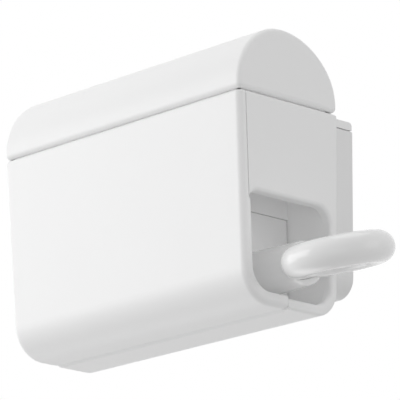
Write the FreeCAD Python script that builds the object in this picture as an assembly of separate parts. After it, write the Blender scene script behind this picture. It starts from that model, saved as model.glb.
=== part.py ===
import FreeCAD, Part
import math
import os

# Wall-hung retractable clothes line with a hinged hood, in millimetres.
# X runs along the case to the finger ring, Y runs into the wall, Z is up.
# The origin is the centre of the bracket's wall face, so the wall is the plane Y = 0.

# Driving sizes of the whole object
case_length = 166.0
case_depth = 64.7
case_height = 99.0
hood_height = 34.8
bracket_depth = 12.1
bracket_height = 80.6
seam_above_bracket = 5.3

# Form of the case: the front leans back to its foot and the ends draw in a little
front_lean = 5.4
end_draft = 2.5
front_foot_radius = 16.8
rear_foot_radius = 13.5
seam_round = 1.5
end_round = 1.4
cover_end_round = 3.2
case_wall = 2.4
back_wall = 2.2
end_wall = 2.5

# Front cover: a thicker rim at both ends, and the split under the case
cover_rim = 4.1
cover_foot_rim = 5.3
rim_width = 6.0
rim_edge_round = 0.4
part_gap = 0.3
split_gap = 0.12
split_from_front = 32.5
groove_width = 4.6
groove_depth = 1.5
lip_height = 3.0
lip_thickness = 1.3
lip_root = 5.0
lip_hinge_gap = 1.0

# Pocket in the ring end: a window in the end panel, and a taller hollow behind it
pocket_finger_room = 21.2
pocket_front_overlap = 0.5
pocket_rear_inset = 4.4
pocket_depth = 30.0
pocket_wall = 1.2
pocket_lip = 4.0
pocket_headroom = 12.0
pocket_front_top_radius = 7.0
pocket_rear_top_radius = 8.0
pocket_rear_foot_radius = 10.0
pocket_mouth_round = 1.9
pocket_floor_wall = 1.6
window_rim = 5.0
window_foot_rim = 6.0

# Hood
hood_gap = 0.8
hood_skirt = 3.0
hood_crown_back = 29.5
hood_front_ease = 1.9
hood_rear_ease = 3.6
hood_wall = 2.2
hood_round = 2.4
hood_lip_gap = 0.5

# Hood hinge
hinge_pin_radius = 1.0
hinge_pin_length = 26.0
hinge_spacing = 100.0
lug_width = 10.0
lug_root = 7.0
lug_side_gap = 0.5
lug_round_gap = 0.5
hinge_running_gap = 0.08

# Hanger: the flange over the bracket, and the hooks through the back wall
flange_top_drop = 1.2
flange_round = 1.8
flange_wall_gap = 0.3
bracket_inset = 2.3
bracket_draft = 1.3
bracket_wall = 2.4
bracket_foot_radius = 9.5
bracket_top_radius = 1.0
bracket_case_gap = 0.4
hook_spacing = 100.0
hook_width = 14.0
hook_arm = 3.0
hook_tongue = 6.0
hook_tongue_thickness = 2.2
hook_play = 0.3
hook_side_gap = 0.5
hook_height = 21.0
rib_spacing = 48.0
rib_thickness = 2.0
rib_depth = 7.0

# Wall screws
wall_screw_spacing = 120.0
wall_screw_hole_radius = 2.5
wall_screw_height = 0.0
wall_pad_radius = 8.0
wall_pad_height = 1.5

# Pull handle: a finger ring on a stem
ring_radius = 18.8
ring_tube_radius = 7.6
ring_roll = 14.4
ring_reach = 28.3
handle_behind_middle = 1.65
stem_radius = 11.4
stem_end_radius = 10.6
stem_reach = 12.8
stem_end_round = 7.0
stem_flare_radius = 13.8
stem_flare_round = 4.5
stem_base_edge = 0.6
stem_wall = 2.2
stem_web = 3.0
stem_web_setback = 12.0
stem_dock_gap = 0.3
stem_floor_gap = 3.4
stem_ring_gap = 0.15
spigot_radius = 5.2
spigot_length = 6.5
crimp_radius = 3.0
crimp_length = 9.0

# Line and drum
line_radius = 1.2
line_slide_gap = 0.4
wound_gap = 0.3
drum_lip = 2.7
drum_core_radius = 15.0
drum_side_air = 2.5
flange_thickness = 2.0
drum_recess_inner = 7.0
drum_recess_outer = 13.0
drum_recess_floor = 6.0
spring_cup_inset = 6.0
spring_cup_wall = 1.8
spring_cup_depth = 7.6
spring_cover_thickness = 1.2
spring_cover_seat = 0.8
spring_turns = 7
spring_strip = 0.5
spring_width = 5.0
spring_end_gap = 0.6
spring_side_gap = 0.3
spring_arbor_gap = 0.3
axle_radius = 3.0
axle_seat = 2.4
axle_end_gap = 0.3
bush_wall = 1.4
bush_length = 6.0
bush_flange_radius = 6.2
bush_flange_thickness = 1.0
running_gap = 0.06

# Reel case: two shells round the drum with a throat to the line guide
reel_wall = 2.0
reel_air = 2.0
reel_back_room = 4.0
reel_top_room = 5.6
reel_end_room = 13.0
throat_half_height = 9.0
throat_half_depth = 14.0
throat_wall = 2.0
throat_nose_wall = 2.5
axle_boss_radius = 6.5
axle_boss_height = 2.6
guide_plate_thickness = 3.0
guide_plate_gap = 0.35
guide_plate_rear_gap = 0.7
guide_plate_round = 0.5

# Line guide bush
guide_flange_radius = 8.4
guide_flange_thickness = 1.8
guide_collar_radius = 6.9
guide_barrel_radius = 5.0
guide_tail_radius = 6.6
guide_tail_thickness = 2.0
guide_collar_gap = 0.1
guide_mouth_flare = 1.6

# Screws
screw_radius = 1.5
screw_head_radius = 2.9
screw_head_height = 2.0
screw_hole_gap = 0.2
screw_recess_gap = 0.3
cover_screw_length = 16.0
cover_boss_radius = 3.6
cover_boss_pad = 3.0
cover_pad_radius = 5.2
cover_boss_gap = 0.3
cover_boss_end_inset = 11.5
cover_boss_top_drop = 12.0
cover_boss_foot_rise = 20.0
cover_boss_clearance = 2.0
reel_lug_radius = 4.2
reel_lug_overlap = 1.2
reel_lug_angle = 45.0
reel_screw_engagement = 9.0
reel_screw_head_seat = 6.0
throat_lug_back = 6.0
mount_ear_radius = 4.6
mount_ear_root = 9.2
mount_ear_angle = 20.0
mount_ear_thickness = 3.0
mount_screw_engagement = 4.2
mount_boss_radius = 4.2

# Cuts run past the material by this much
overrun = 5.0

# Edges and faces are found by their places to within this distance
find_distance = 0.00001

# Places worked out from the sizes above
seam_z = bracket_height / 2 + seam_above_bracket
foot_z = seam_z - case_height
rear_y = -bracket_depth
front_y = rear_y - case_depth
half_length = case_length / 2
split_y = front_y + split_from_front
pocket_floor_x = half_length - pocket_depth
handle_y = front_y + case_depth / 2 + handle_behind_middle
pocket_floor_z = foot_z + cover_foot_rim
pocket_rear_y = rear_y - pocket_rear_inset
handle_z = pocket_floor_z + stem_floor_gap + stem_radius
pocket_top_z = handle_z + stem_radius + pocket_finger_room
hollow_top_z = pocket_top_z + pocket_headroom
ring_x = half_length + ring_reach
nose_x = pocket_floor_x - guide_plate_thickness
reel_top_z = seam_z - reel_top_room
wound_radius = (reel_top_z - reel_wall - reel_air - drum_lip - handle_z) / 2
flange_radius = wound_radius + drum_lip
spring_cup_radius = flange_radius - spring_cup_inset
reel_inner_radius = flange_radius + reel_air
reel_outer_radius = reel_inner_radius + reel_wall
reel_half_depth = rear_y - back_wall - reel_back_room - handle_y
reel_front_y = handle_y - reel_half_depth
reel_back_y = handle_y + reel_half_depth
drum_z = handle_z + wound_radius
drum_centre_x = reel_end_room + reel_outer_radius - half_length
spring_stack = spring_cup_depth - spring_cover_seat + spring_cover_thickness
drum_width = 2 * (reel_half_depth - reel_wall - drum_side_air - spring_stack - flange_thickness)
hood_foot_z = seam_z + hood_gap
hood_spring_z = hood_foot_z + hood_skirt
hood_rise = seam_z + hood_height - hood_spring_z
hood_crown_y = front_y + hood_crown_back
hinge_y = rear_y - hood_round
hinge_z = hood_foot_z + hood_round
bracket_half = half_length - bracket_inset
bracket_top_z = bracket_height / 2
bracket_front_y = rear_y + bracket_case_gap


def vector(x, y, z):
    return FreeCAD.Vector(x, y, z)


def lean_at(z):
    """How far the front face stands back at height z."""
    return front_lean * (seam_z - z) / case_height


def end_at(z, inset):
    """Distance of the end face from the middle at height z."""
    return half_length - inset - end_draft * (seam_z - z) / case_height


def rounded_wire(points, radii, place):
    """Closed wire through points with a tangent arc of the given radius at each corner."""
    starts = []
    ends = []
    middles = []
    count = len(points)
    for index in range(count):
        corner = place(*points[index])
        before = place(*points[index - 1]) - corner
        after = place(*points[(index + 1) % count]) - corner
        before.normalize()
        after.normalize()
        radius = radii[index]
        half_angle = before.getAngle(after) / 2
        bisector = (before + after).normalize()
        back = radius / math.tan(half_angle)
        centre = corner + bisector * (radius / math.sin(half_angle))
        starts.append(corner + before * back)
        ends.append(corner + after * back)
        middles.append(centre - bisector * radius)
    edges = []
    for index in range(count):
        if radii[index] > 0:
            edges.append(Part.Arc(starts[index], middles[index], ends[index]).toShape())
        following = (index + 1) % count
        if (starts[following] - ends[index]).Length > find_distance:
            edges.append(Part.LineSegment(ends[index], starts[following]).toShape())
    return Part.Wire(edges)


def along_x(points, radii, x_from, x_to):
    """Solid with a rounded (y, z) outline between two x places."""
    wire = rounded_wire(points, radii, lambda y, z: vector(x_from, y, z))
    return Part.Face(wire).extrude(vector(x_to - x_from, 0, 0))


def along_y(points, radii, y_from, y_to):
    """Solid with a rounded (x, z) outline between two y places."""
    wire = rounded_wire(points, radii, lambda x, z: vector(x, y_from, z))
    return Part.Face(wire).extrude(vector(0, y_to - y_from, 0))


def block(x_from, x_to, y_from, y_to, z_from, z_to):
    return Part.makeBox(x_to - x_from, y_to - y_from, z_to - z_from, vector(x_from, y_from, z_from))


def rod_x(radius, x_from, x_to, y, z):
    return Part.makeCylinder(radius, x_to - x_from, vector(x_from, y, z), vector(1, 0, 0))


def rod_y(radius, y_from, y_to, x, z):
    return Part.makeCylinder(radius, y_to - y_from, vector(x, y_from, z), vector(0, 1, 0))


def turned_x(profile, y, z):
    """Solid of revolution about the X line through (y, z) from (x, radius) points."""
    points = [vector(x, y, z + radius) for x, radius in profile]
    face = Part.Face(Part.makePolygon(points + points[:1]))
    return face.revolve(vector(0, y, z), vector(1, 0, 0))


def turned_y(profile, x, z):
    """Solid of revolution about the Y line through (x, z) from (y, radius) points."""
    points = [vector(x, y, z + radius) for y, radius in profile]
    face = Part.Face(Part.makePolygon(points + points[:1]))
    return face.revolve(vector(x, 0, z), vector(0, 1, 0))


def fused(pieces):
    """One solid from overlapping pieces."""
    return pieces[0].multiFuse(pieces[1:]).removeSplitter()


def case_corners(front_inset, foot_inset, rear_inset, top_z):
    """Corner points of the case's (y, z) outline, drawn in by the given insets."""
    low_z = foot_z + foot_inset
    return [
        (front_y + lean_at(top_z) + front_inset, top_z),
        (front_y + lean_at(low_z) + front_inset, low_z),
        (rear_y - rear_inset, low_z),
        (rear_y - rear_inset, top_z),
    ]


def end_block(inset, y_from, y_to):
    """Everything between the two drafted end faces, drawn in by inset."""
    high = seam_z + overrun
    low = foot_z - overrun
    corners = [
        (-end_at(high, inset), high),
        (-end_at(low, inset), low),
        (end_at(low, inset), low),
        (end_at(high, inset), high),
    ]
    return along_y(corners, [0, 0, 0, 0], y_from, y_to)


def end_edges(solid, place_at):
    """Edges that lie wholly in the end faces of a solid."""
    chosen = []
    for edge in solid.Edges:
        spots = [edge.valueAt(edge.FirstParameter), edge.valueAt(edge.LastParameter)]
        spots.append(edge.valueAt((edge.FirstParameter + edge.LastParameter) / 2))
        if all(abs(abs(spot.x) - place_at(spot.z)) < find_distance for spot in spots):
            chosen.append(edge)
    return chosen


def on_shell(edge, solid):
    """True where the middle of an edge lies on the surface of a solid."""
    middle = edge.valueAt((edge.FirstParameter + edge.LastParameter) / 2)
    return solid.Shells[0].distToShape(Part.Vertex(middle))[0] < find_distance


def case_outer(round_at_ends):
    """Outer form of the case, with rounded end edges and a rounded top edge."""
    above = seam_z + overrun
    corners = case_corners(0, 0, 0, above)
    radii = [0, front_foot_radius, rear_foot_radius, 0]
    reach = half_length + overrun
    solid = along_x(corners, radii, -reach, reach)
    solid = solid.common(end_block(0, front_y - overrun, rear_y + overrun))
    long_edges = [edge for edge in end_edges(solid, lambda z: end_at(z, 0))
                  if edge.BoundBox.ZMin < seam_z]
    solid = solid.makeFillet(round_at_ends, long_edges)
    solid = solid.cut(block(-reach, reach, front_y - overrun, rear_y + overrun, seam_z, above + overrun))
    top_edges = [edge for edge in solid.Edges if edge.BoundBox.ZMin > seam_z - find_distance]
    return solid.makeFillet(seam_round, top_edges)


def cover_boss_places():
    """(x, z) of the four screws of the front cover; the last stands between drum and hook."""
    side = half_length - cover_boss_end_inset
    top = seam_z - cover_boss_top_drop
    clear = cover_boss_clearance + cover_pad_radius
    beside_hook = hook_spacing / 2 - hook_width / 2 - hook_side_gap - clear
    return [
        (-side, top),
        (side, top),
        (-side, foot_z + cover_boss_foot_rise),
        (beside_hook, pocket_top_z + clear),
    ]


def cover_pad_y():
    """Inner face of the pads that carry the cover screws."""
    return rear_y - back_wall - cover_boss_pad


def cover_screw_head_y():
    """Face on which the cover screws' heads bear."""
    return rear_y - screw_head_height - screw_recess_gap


def make_front_cover(outer):
    """Leaning front, front foot and underside as far as the split, in one shell."""
    reach = half_length + overrun
    rim_corners = case_corners(cover_rim, cover_foot_rim, -overrun, seam_z + overrun)
    rim_radius = front_foot_radius - cover_rim
    inside = along_x(rim_corners, [0, rim_radius, 0, 0], -reach, reach)
    shell = with_round_rim(outer.cut(inside), inside)
    shell = shell.fuse(window_rim_pad(outer))
    middle_corners = case_corners(case_wall, case_wall, -overrun, seam_z + overrun)
    middle_reach = half_length - end_draft - rim_width
    middle_radius = front_foot_radius - case_wall
    shell = shell.cut(along_x(middle_corners, [0, middle_radius, 0, 0], -middle_reach, middle_reach))
    low = foot_z - overrun
    shell = shell.cut(block(-reach, reach, split_y - split_gap / 2, rear_y + overrun, low, seam_z + overrun))
    shell = shell.cut(split_groove())
    pieces = [shell]
    lip_y = front_y + hood_wall + hood_lip_gap
    lip_reach = half_length - end_wall - hood_lip_gap - hood_wall
    lip_back = lip_y + lip_thickness
    lip_root_corners = [
        (lip_y, seam_z + lip_height),
        (lip_y, seam_z),
        (front_y + case_wall / 2, seam_z - seam_round),
        (front_y + case_wall / 2, seam_z - lip_root),
        (lip_back, seam_z - lip_root),
        (lip_back, seam_z + lip_height),
    ]
    pieces.append(along_x(lip_root_corners, [0, 0, 0, 0, 0, 0], -lip_reach, lip_reach))
    boss_end = cover_pad_y() - cover_boss_gap
    for x, z in cover_boss_places():
        start = front_y + lean_at(z) + case_wall / 2
        pieces.append(rod_y(cover_boss_radius, start, boss_end, x, z))
    solid = fused(pieces)
    for x, z in cover_boss_places():
        tip = cover_screw_head_y() - cover_screw_length
        solid = solid.cut(rod_y(screw_radius, tip, rear_y, x, z))
    return solid


def with_round_rim(rim, inside):
    """The rim with a small rounding where its end faces meet the form that was cut out of it."""
    edges = [edge for edge in end_edges(rim, lambda z: end_at(z, 0)) if on_shell(edge, inside)]
    return rim.makeFillet(rim_edge_round, edges)


def window_corner_drop():
    """How far under the window's top its front corner meets the front edge of the end panel."""
    beside = pocket_front_top_radius - pocket_front_overlap
    return pocket_front_top_radius - math.sqrt(pocket_front_top_radius ** 2 - beside ** 2)


def window_rim_pad(outer):
    """The cover's rim is broader beside the window, which it closes at the front."""
    top = pocket_top_z - window_corner_drop() - part_gap
    reach = half_length + overrun
    pad = outer.common(block(half_length - end_draft - pocket_lip, reach, front_y, rear_y, foot_z, top))
    inside_corners = case_corners(window_rim, window_foot_rim, -overrun, seam_z + overrun)
    inside = along_x(inside_corners, [0, front_foot_radius - window_rim, 0, 0], -reach, reach)
    return with_round_rim(pad.cut(inside), inside)


def split_groove():
    """Soft groove under the case along the split."""
    low = foot_z - overrun
    half = groove_width / 2
    slope = groove_depth / half
    wide = half + overrun / slope
    corners = [
        (split_y - wide, low),
        (split_y, foot_z + groove_depth),
        (split_y + wide, low),
    ]
    reach = half_length + overrun
    return along_x(corners, [0, 0, 0], -reach, reach)


def inside_cover(clearance):
    """Everything behind the middle part of the front cover, with a clearance to it."""
    inset = case_wall + clearance
    corners = case_corners(inset, inset, 0, seam_z)
    reach = half_length - end_draft - rim_width - clearance
    return along_x(corners, [0, front_foot_radius - inset, 0, 0], -reach, reach)


def pocket_window(x_from, x_to):
    """The window's prism: its front side runs out past the end panel's front edge."""
    front = front_y + cover_rim + part_gap - pocket_front_overlap
    corners = [
        (front + lean_at(pocket_top_z), pocket_top_z),
        (front + lean_at(pocket_floor_z), pocket_floor_z),
        (pocket_rear_y, pocket_floor_z),
        (pocket_rear_y, pocket_top_z),
    ]
    radii = [pocket_front_top_radius, 0, pocket_rear_foot_radius, pocket_rear_top_radius]
    return along_x(corners, radii, x_from, x_to)


def pocket_ribs(outer, region):
    """Walls round the hollow behind the window, moulded on the back of the housing."""
    reach = half_length + overrun
    behind = inside_cover(part_gap)
    behind = behind.fuse(region.common(block(behind.BoundBox.XMax, reach, front_y, rear_y,
                                             foot_z, hollow_top_z + overrun)))
    outer_top = hollow_top_z + pocket_wall
    root_y = rear_y - back_wall / 2
    ribs = [
        block(nose_x, reach, front_y, root_y, hollow_top_z, outer_top),
        block(nose_x, pocket_floor_x, front_y, root_y, pocket_top_z, outer_top),
        block(nose_x, reach, pocket_rear_y, root_y, foot_z + case_wall / 2, outer_top),
        block(nose_x, reach, front_y, root_y, pocket_floor_z - pocket_floor_wall, pocket_floor_z),
        block(half_length - end_draft - pocket_lip, reach, front_y, root_y, foot_z, outer_top),
    ]
    within = outer.common(end_block(end_wall / 2, front_y, rear_y))
    return fused(ribs).common(behind).common(within)


def hook_places():
    return [-hook_spacing / 2, hook_spacing / 2]


def hinge_places():
    return [-hinge_spacing / 2, hinge_spacing / 2]


def mount_places():
    """(x, z) of the four ears that carry the reel case."""
    distance = reel_outer_radius + mount_ear_radius
    angle = math.radians(mount_ear_angle)
    across = distance * math.cos(angle)
    up = distance * math.sin(angle)
    return [
        (drum_centre_x - across, drum_z - up),
        (drum_centre_x - across, drum_z + up),
        (drum_centre_x + across, drum_z - up),
        (drum_centre_x + across, drum_z + up),
    ]


def reel_lug_places():
    """(x, z) of the four screws that join the two reel case shells."""
    distance = reel_outer_radius + reel_lug_radius - reel_lug_overlap
    offset = distance * math.cos(math.radians(reel_lug_angle))
    throat_top = handle_z + throat_half_height
    return [
        (drum_centre_x - offset, drum_z - offset),
        (drum_centre_x - offset, drum_z + offset),
        (drum_centre_x + offset, drum_z + offset),
        (nose_x - throat_lug_back, throat_top + reel_lug_radius - reel_lug_overlap),
    ]


def end_lips():
    """Lips inside both ends of the hood, which close the seam against light and dust."""
    outside = half_length - hood_wall - hood_lip_gap
    inside = outside - lip_thickness
    root = half_length - end_wall / 2
    y_from = front_y + cover_rim + part_gap
    y_to = hinge_y - hood_round - lip_hinge_gap
    low = seam_z - lip_root
    lips = []
    for side in [-1, 1]:
        lip_low, lip_high = sorted([side * inside, side * outside])
        root_low, root_high = sorted([side * inside, side * root])
        lips.append(block(lip_low, lip_high, y_from, y_to, low, seam_z + lip_height))
        lips.append(block(root_low, root_high, y_from, y_to, low, seam_z - seam_round))
    return lips


def make_rear_housing(outer):
    """Both end panels, the back, the rear foot, the pocket and the hanger flange."""
    reach = half_length + overrun
    front_inset = cover_rim + part_gap
    foot_inset = cover_foot_rim + part_gap
    step_z = foot_z + foot_inset
    front_line = front_y + front_inset
    step_y = split_y + split_gap / 2
    top = seam_z + overrun
    low = foot_z - overrun
    corners = [
        (front_line + lean_at(top), top),
        (front_line + lean_at(step_z), step_z),
        (step_y, step_z),
        (step_y, low),
        (rear_y + overrun, low),
        (rear_y + overrun, top),
    ]
    radii = [0, front_foot_radius - front_inset, 0, 0, 0, 0]
    region = along_x(corners, radii, -reach, reach)
    shell = outer.common(region)
    hollow_corners = case_corners(-overrun, case_wall, back_wall, seam_z + overrun)
    hollow = along_x(hollow_corners, [0, 0, rear_foot_radius - back_wall, 0], -reach, reach)
    hollow = hollow.common(end_block(end_wall, front_y - overrun, rear_y))
    shell = shell.cut(hollow)
    shell = shell.cut(split_groove())

    pieces = [shell, pocket_ribs(outer, region)]
    pieces.extend(end_lips())

    flange_top = seam_z - flange_top_drop
    flange_low = bracket_top_z + part_gap
    flange_corners = [
        (rear_y - back_wall / 2, flange_top),
        (rear_y - back_wall / 2, flange_low),
        (-flange_wall_gap, flange_low),
        (-flange_wall_gap, flange_top),
    ]
    flange = along_x(flange_corners, [0, 0, 0, flange_round], -bracket_half, bracket_half)
    pieces.append(flange)

    lug_radius = hood_round - lug_round_gap / 2
    for x in hinge_places():
        low_x = x - lug_width / 2
        high_x = x + lug_width / 2
        pieces.append(rod_x(lug_radius, low_x, high_x, hinge_y, hinge_z))
        pieces.append(block(low_x, high_x, hinge_y - lug_radius, hinge_y + lug_radius,
                            seam_z - lug_root, hinge_z))

    for x, z in cover_boss_places():
        pieces.append(rod_y(cover_pad_radius, cover_pad_y(), rear_y - back_wall / 2, x, z))
    for x, z in mount_places():
        pieces.append(rod_y(mount_boss_radius, reel_back_y, rear_y - back_wall / 2, x, z))
    solid = fused(pieces)

    window = pocket_window(pocket_floor_x, reach)
    solid = solid.cut(window)
    mouth = [edge for edge in end_edges(solid, lambda z: end_at(z, 0)) if on_shell(edge, window)]
    solid = solid.makeFillet(pocket_mouth_round, mouth)

    bore = hinge_pin_radius + hinge_running_gap
    solid = solid.cut(rod_x(bore, -reach, reach, hinge_y, hinge_z))
    for x, z in cover_boss_places():
        hole_radius = screw_radius + screw_hole_gap
        head_radius = screw_head_radius + screw_recess_gap
        solid = solid.cut(rod_y(hole_radius, cover_pad_y() - overrun, rear_y + overrun, x, z))
        solid = solid.cut(rod_y(head_radius, cover_screw_head_y(), rear_y + overrun, x, z))
    mount_tip = reel_back_y + mount_screw_engagement
    for x, z in mount_places():
        solid = solid.cut(rod_y(screw_radius, reel_back_y - overrun, mount_tip, x, z))
    slot_top = hook_height + hook_arm
    slot_low = hook_height - hook_tongue - hook_play
    slot_half = hook_width / 2 + hook_side_gap
    slot_depth = back_wall + hook_play
    for x in hook_places():
        solid = solid.cut(block(x - slot_half, x + slot_half, rear_y - slot_depth, rear_y + overrun,
                                slot_low, slot_top + hook_play))
    return solid


def mount_screw_head_y():
    """Face of the reel case ears on which the mounting screws' heads bear."""
    return reel_back_y - mount_ear_thickness


def quarter_oval(side_way, side_half, ease, wall):
    """Broad and tight arc from the hood's crown down to one side at x = 0, drawn in by wall.

    The tight arc is at the end of the longer half axis.
    """
    middle = vector(0, hood_crown_y, hood_spring_z)
    upward = vector(0, 0, 1)
    if side_half > hood_rise:
        long_way, short_way = side_way, upward
    else:
        long_way, short_way = upward, side_way
    long_half = max(side_half, hood_rise)
    short_half = min(side_half, hood_rise)
    tight_radius = short_half - ease
    offset = long_half - tight_radius
    broad_radius = (offset ** 2 + short_half ** 2 - tight_radius ** 2) / (2 * ease)
    tight_centre = middle + long_way * offset
    broad_centre = middle + short_way * (short_half - broad_radius)
    meeting = (tight_centre - broad_centre).normalize()

    def arc(centre, radius, start_way, end_way):
        middle_way = (start_way + end_way).normalize()
        reach = radius - wall
        halfway = centre + middle_way * reach
        return Part.Arc(centre + start_way * reach, halfway, centre + end_way * reach).toShape()

    return [
        arc(broad_centre, broad_radius, short_way, meeting),
        arc(tight_centre, tight_radius, meeting, long_way),
    ]


def hood_solid(wall, low_z, x_reach):
    """Solid under the hood's outline, drawn in by wall, down to low_z."""
    front = front_y + wall
    rear = rear_y - wall
    corners = [
        vector(0, rear, hood_spring_z),
        vector(0, rear, low_z),
        vector(0, front, low_z),
        vector(0, front, hood_spring_z),
    ]
    edges = quarter_oval(vector(0, -1, 0), hood_crown_back, hood_front_ease, wall)
    edges.extend(quarter_oval(vector(0, 1, 0), case_depth - hood_crown_back, hood_rear_ease, wall))
    for before, after in zip(corners, corners[1:]):
        edges.append(Part.LineSegment(before, after).toShape())
    wire = Part.Wire(Part.sortEdges(edges)[0])
    wire.translate(vector(-x_reach, 0, 0))
    return Part.Face(wire).extrude(vector(2 * x_reach, 0, 0))


def foot_edges(solid):
    """The two edges that run the length of the hood's foot."""
    chosen = []
    for edge in solid.Edges:
        spots = [vertex.Point for vertex in edge.Vertexes]
        level = all(abs(spot.z - hood_foot_z) < find_distance for spot in spots)
        if level and abs(spots[0].x - spots[-1].x) > half_length:
            chosen.append(edge)
    return chosen


def make_hood():
    """Domed hood with a hinge rail along its rear foot."""
    solid = hood_solid(0, hood_foot_z, half_length)
    rounded_edges = end_edges(solid, lambda z: half_length) + foot_edges(solid)
    solid = solid.makeFillet(hood_round, rounded_edges)
    inner_reach = half_length - hood_wall
    solid = solid.cut(hood_solid(hood_wall, hood_foot_z - overrun, inner_reach))
    rail = rod_x(hood_round, -inner_reach, inner_reach, hinge_y, hinge_z)
    solid = fused([solid, rail])
    notch_radius = hood_round + lug_round_gap
    notch_half = lug_width / 2 + lug_side_gap
    for x in hinge_places():
        low_x = x - notch_half
        high_x = x + notch_half
        solid = solid.cut(rod_x(notch_radius, low_x, high_x, hinge_y, hinge_z))
        solid = solid.cut(block(low_x, high_x, hinge_y - notch_radius, rear_y + overrun,
                                hood_foot_z - overrun, hinge_z))
        solid = solid.cut(block(low_x, high_x, hinge_y, rear_y + overrun,
                                hood_foot_z - overrun, hinge_z + notch_radius))
        pin_half = hinge_pin_length / 2
        solid = solid.cut(rod_x(hinge_pin_radius, x - pin_half, x + pin_half, hinge_y, hinge_z))
    return solid


def make_hinge_pins():
    half = hinge_pin_length / 2
    pins = [rod_x(hinge_pin_radius, x - half, x + half, hinge_y, hinge_z) for x in hinge_places()]
    return Part.makeCompound(pins)


def bracket_corners(inset):
    """Corner points of the bracket's (x, z) outline, drawn in by inset; its sides draw in to the foot."""
    top_half = bracket_half - inset
    low_half = top_half - bracket_draft
    top = bracket_top_z - inset
    low = inset - bracket_height / 2
    return [(-top_half, top), (-low_half, low), (low_half, low), (top_half, top)]


def make_wall_bracket():
    """Shallow tray with two upturned hooks, two ribs and two screw pads."""
    corners = bracket_corners(0)
    radii = [bracket_top_radius, bracket_foot_radius, bracket_foot_radius, bracket_top_radius]
    tray = along_y(corners, radii, bracket_front_y, 0)
    inner_top = bracket_top_z - bracket_wall
    inner_low = bracket_wall - bracket_height / 2
    inner_foot = bracket_foot_radius - bracket_wall
    tray = tray.cut(along_y(bracket_corners(bracket_wall), [0, inner_foot, inner_foot, 0],
                            bracket_front_y - overrun, -bracket_wall))
    pieces = [tray]
    rib_half = rib_thickness / 2
    root = bracket_wall / 2
    pad_y = -bracket_wall - wall_pad_height
    for x in [-rib_spacing / 2, rib_spacing / 2]:
        pieces.append(block(x - rib_half, x + rib_half, -bracket_wall - rib_depth, -root,
                            inner_low - root, inner_top + root))
    tongue_back = rear_y - back_wall - hook_play
    tongue_front = tongue_back - hook_tongue_thickness
    for x in hook_places():
        low_x = x - hook_width / 2
        high_x = x + hook_width / 2
        arm_top = hook_height + hook_arm
        pieces.append(block(low_x, high_x, tongue_front, -root, hook_height, arm_top))
        pieces.append(block(low_x, high_x, tongue_front, tongue_back, hook_height, arm_top + hook_tongue))
    for x in [-wall_screw_spacing / 2, wall_screw_spacing / 2]:
        pieces.append(rod_y(wall_pad_radius, pad_y, -root, x, wall_screw_height))
    solid = fused(pieces)
    for x in [-wall_screw_spacing / 2, wall_screw_spacing / 2]:
        solid = solid.cut(rod_y(wall_screw_hole_radius, pad_y - overrun, overrun, x, wall_screw_height))
    return solid


def reel_form(radius, half_height, half_depth, x_end, y_outer, side):
    """Half of the round drum housing and its straight throat, on one side of the parting plane."""
    drum = rod_y(radius, *sorted([y_outer, handle_y]), drum_centre_x, drum_z)
    throat_face = handle_y + side * half_depth
    throat = block(drum_centre_x, x_end, *sorted([throat_face, handle_y]),
                   handle_z - half_height, handle_z + half_height)
    return fused([drum, throat])


def reel_shell(side, ears):
    """One shell of the reel case. Side is -1 for the front one and 1 for the back one."""
    y_outer = handle_y + side * reel_half_depth
    pieces = [reel_form(reel_outer_radius, throat_half_height, throat_half_depth, nose_x, y_outer, side)]
    pieces.extend(ears)
    for x, z in reel_lug_places():
        lug_face = handle_y + side * lug_half_depth(x)
        pieces.append(rod_y(reel_lug_radius, *sorted([lug_face, handle_y]), x, z))
    boss_low, boss_high = sorted([y_outer - side * reel_wall / 2, y_outer + side * axle_boss_height])
    pieces.append(rod_y(axle_boss_radius, boss_low, boss_high, drum_centre_x, drum_z))
    solid = fused(pieces)
    hollow_height = throat_half_height - throat_wall
    hollow_depth = throat_half_depth - throat_wall
    solid = solid.cut(reel_form(reel_inner_radius, hollow_height, hollow_depth,
                                nose_x - throat_nose_wall, y_outer - side * reel_wall, side))
    seat = y_outer + side * (axle_seat - reel_wall)
    solid = solid.cut(rod_y(axle_radius, *sorted([seat, handle_y]), drum_centre_x, drum_z))
    return solid.cut(rod_x(guide_barrel_radius, nose_x - throat_nose_wall - overrun, nose_x + overrun,
                           handle_y, handle_z))


def lug_half_depth(x):
    """Half the depth of the reel case where a lug stands: the drum's, or the throat's near the guide."""
    return throat_half_depth if x > drum_centre_x + reel_outer_radius else reel_half_depth


def reel_screw_seat_y(x):
    """Face on which the head of a reel case screw bears."""
    return handle_y - lug_half_depth(x) + reel_screw_head_seat


def reel_screw_length(x):
    return handle_y - reel_screw_seat_y(x) + reel_screw_engagement


def make_reel_case_front():
    """Front shell: its lugs take the screws' heads."""
    solid = reel_shell(-1, [])
    for x, z in reel_lug_places():
        head_radius = screw_head_radius + screw_recess_gap
        seat = reel_screw_seat_y(x)
        solid = solid.cut(rod_y(head_radius, reel_front_y - overrun, seat, x, z))
        solid = solid.cut(rod_y(screw_radius + screw_hole_gap, seat - overrun, handle_y + overrun, x, z))
    return solid


def make_reel_case_back():
    """Back shell with four ears that screw to the rear housing."""
    ear_front = mount_screw_head_y()
    ears = []
    for x, z in mount_places():
        toward = -1 if x > drum_centre_x else 1
        ears.append(rod_y(mount_ear_radius, ear_front, reel_back_y, x, z))
        root_x = x + toward * mount_ear_root
        low_x, high_x = sorted([x, root_x])
        ears.append(block(low_x, high_x, ear_front, reel_back_y, z - mount_ear_radius, z + mount_ear_radius))
    solid = reel_shell(1, ears)
    for x, z in reel_lug_places():
        solid = solid.cut(rod_y(screw_radius, handle_y - overrun, handle_y + reel_screw_engagement, x, z))
    hole_radius = screw_radius + screw_hole_gap
    for x, z in mount_places():
        solid = solid.cut(rod_y(hole_radius, ear_front - overrun, reel_back_y + overrun, x, z))
    return solid


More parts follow.
